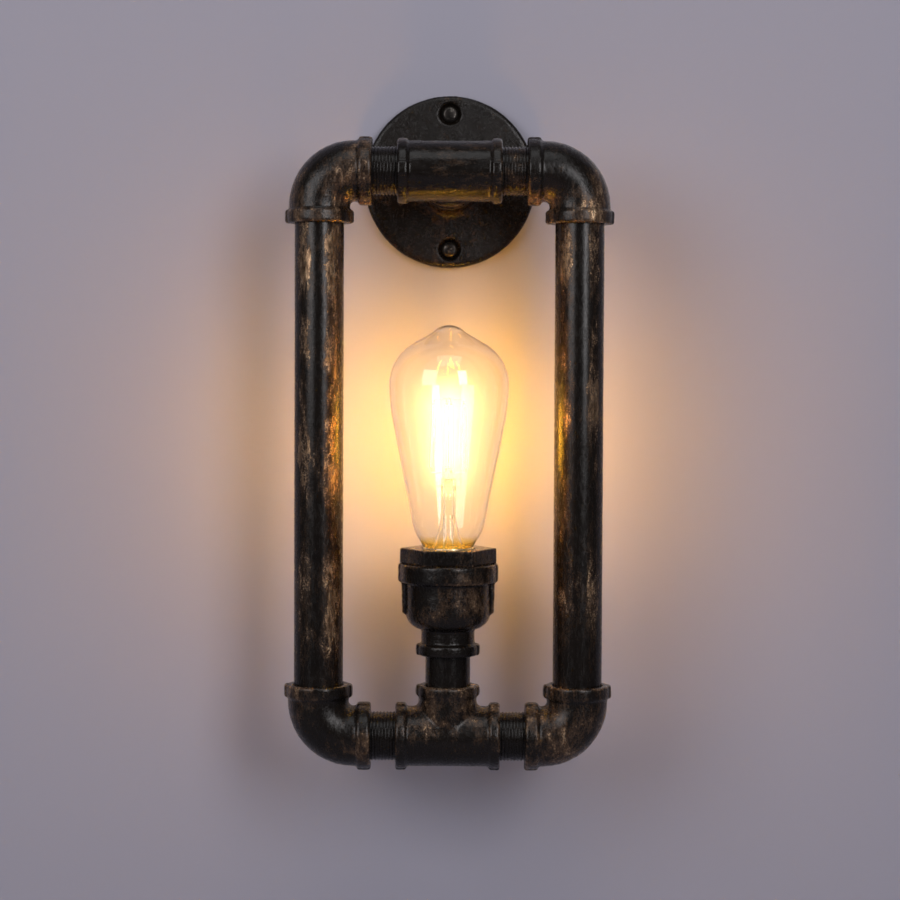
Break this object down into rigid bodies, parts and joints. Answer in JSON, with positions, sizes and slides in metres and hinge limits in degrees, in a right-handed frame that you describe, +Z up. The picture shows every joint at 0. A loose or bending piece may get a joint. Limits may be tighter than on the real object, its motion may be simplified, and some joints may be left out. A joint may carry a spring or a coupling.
{
  "type": "industrial pipe wall light",
  "caption": "Wall light of screwed iron pipe: a flange and arm hold an upright rectangular loop, with a filament bulb standing in a cup on its lower rail.",
  "frame": {"origin": "centre of the wall flange's back face, on the wall", "axes": "+Y into the wall, +Z up along the loop's long pipes, +X to the right of a viewer who faces the wall"},
  "size_m": [0.178, 0.1345, 0.3745],
  "materials": {
    "fitting_iron": "dark bronze paint, rubbed back on the high spots",
    "pipe_steel": "near-black bronze paint, rubbed in patches",
    "screw_steel": "black oxide, satin",
    "zinc_steel": "zinc plated",
    "ceramic": "glazed white porcelain",
    "brass": "plain, satin",
    "cap_metal": "drawn thin sheet, bright",
    "insulation_black": "smooth flexible insulation",
    "insulation_white": "smooth flexible insulation",
    "insulation_green": "smooth flexible insulation",
    "ferrule_metal": "tinned",
    "bulb_glass": "clear amber tint, smooth",
    "clear_glass": "clear",
    "wire_metal": "drawn nickel wire",
    "filament": "yellow phosphor coating",
    "board": "lacquered board",
    "black_glass": "black moulded glass",
    "solder": "dull solder"
  },
  "bodies": {
    "fixture": {"wall_flange": "fitting_iron", "wall_screws": "screw_steel", "earth_screw": "zinc_steel", "earth_eyelet": "zinc_steel", "earth_lead": "insulation_green", "arm_nipple": "pipe_steel", "top_tee": "fitting_iron", "top_left_nipple": "pipe_steel", "top_right_nipple": "pipe_steel", "top_left_elbow": "fitting_iron", "top_right_elbow": "fitting_iron", "left_pipe": "pipe_steel", "right_pipe": "pipe_steel", "bottom_left_elbow": "fitting_iron", "bottom_right_elbow": "fitting_iron", "bottom_left_nipple": "pipe_steel", "bottom_right_nipple": "pipe_steel", "bottom_tee": "fitting_iron", "riser_nipple": "pipe_steel", "reducer_cup": "fitting_iron", "hex_bush": "fitting_iron", "holder_ceramic": "ceramic", "holder_shell": "brass", "centre_contact": "brass", "live_terminal": "brass", "neutral_terminal": "brass", "clamp_screws": "zinc_steel", "live_lead": "insulation_black", "neutral_lead": "insulation_white", "lead_ferrules": "ferrule_metal"},
    "bulb_rise_carrier": {"contact_tip": "solder"},
    "bulb": {"bulb_glass": "bulb_glass", "bulb_stem": "clear_glass", "filament_wires": "wire_metal", "support_wires": "wire_metal", "led_filaments": "filament", "driver_board": "board", "driver_tails": "wire_metal", "bulb_cap": "cap_metal", "cap_insulator": "black_glass"}
  },
  "joints": [
    {"name": "bulb_rise", "type": "slide", "parent": "fixture", "child": "bulb_rise_carrier", "axis": [0, 0, 1], "range_m": [0, 0.0182]},
    {"name": "bulb_turn", "type": "hinge", "parent": "bulb_rise_carrier", "child": "bulb", "pos_m": [0, -0.072, -0.2], "axis": [0, 0, 1], "range_deg": [0, 1800]}
  ],
  "couplings": [
    {"joint": "bulb_rise", "follows": "bulb_turn", "m_per_rad": 0.00057773}
  ]
}
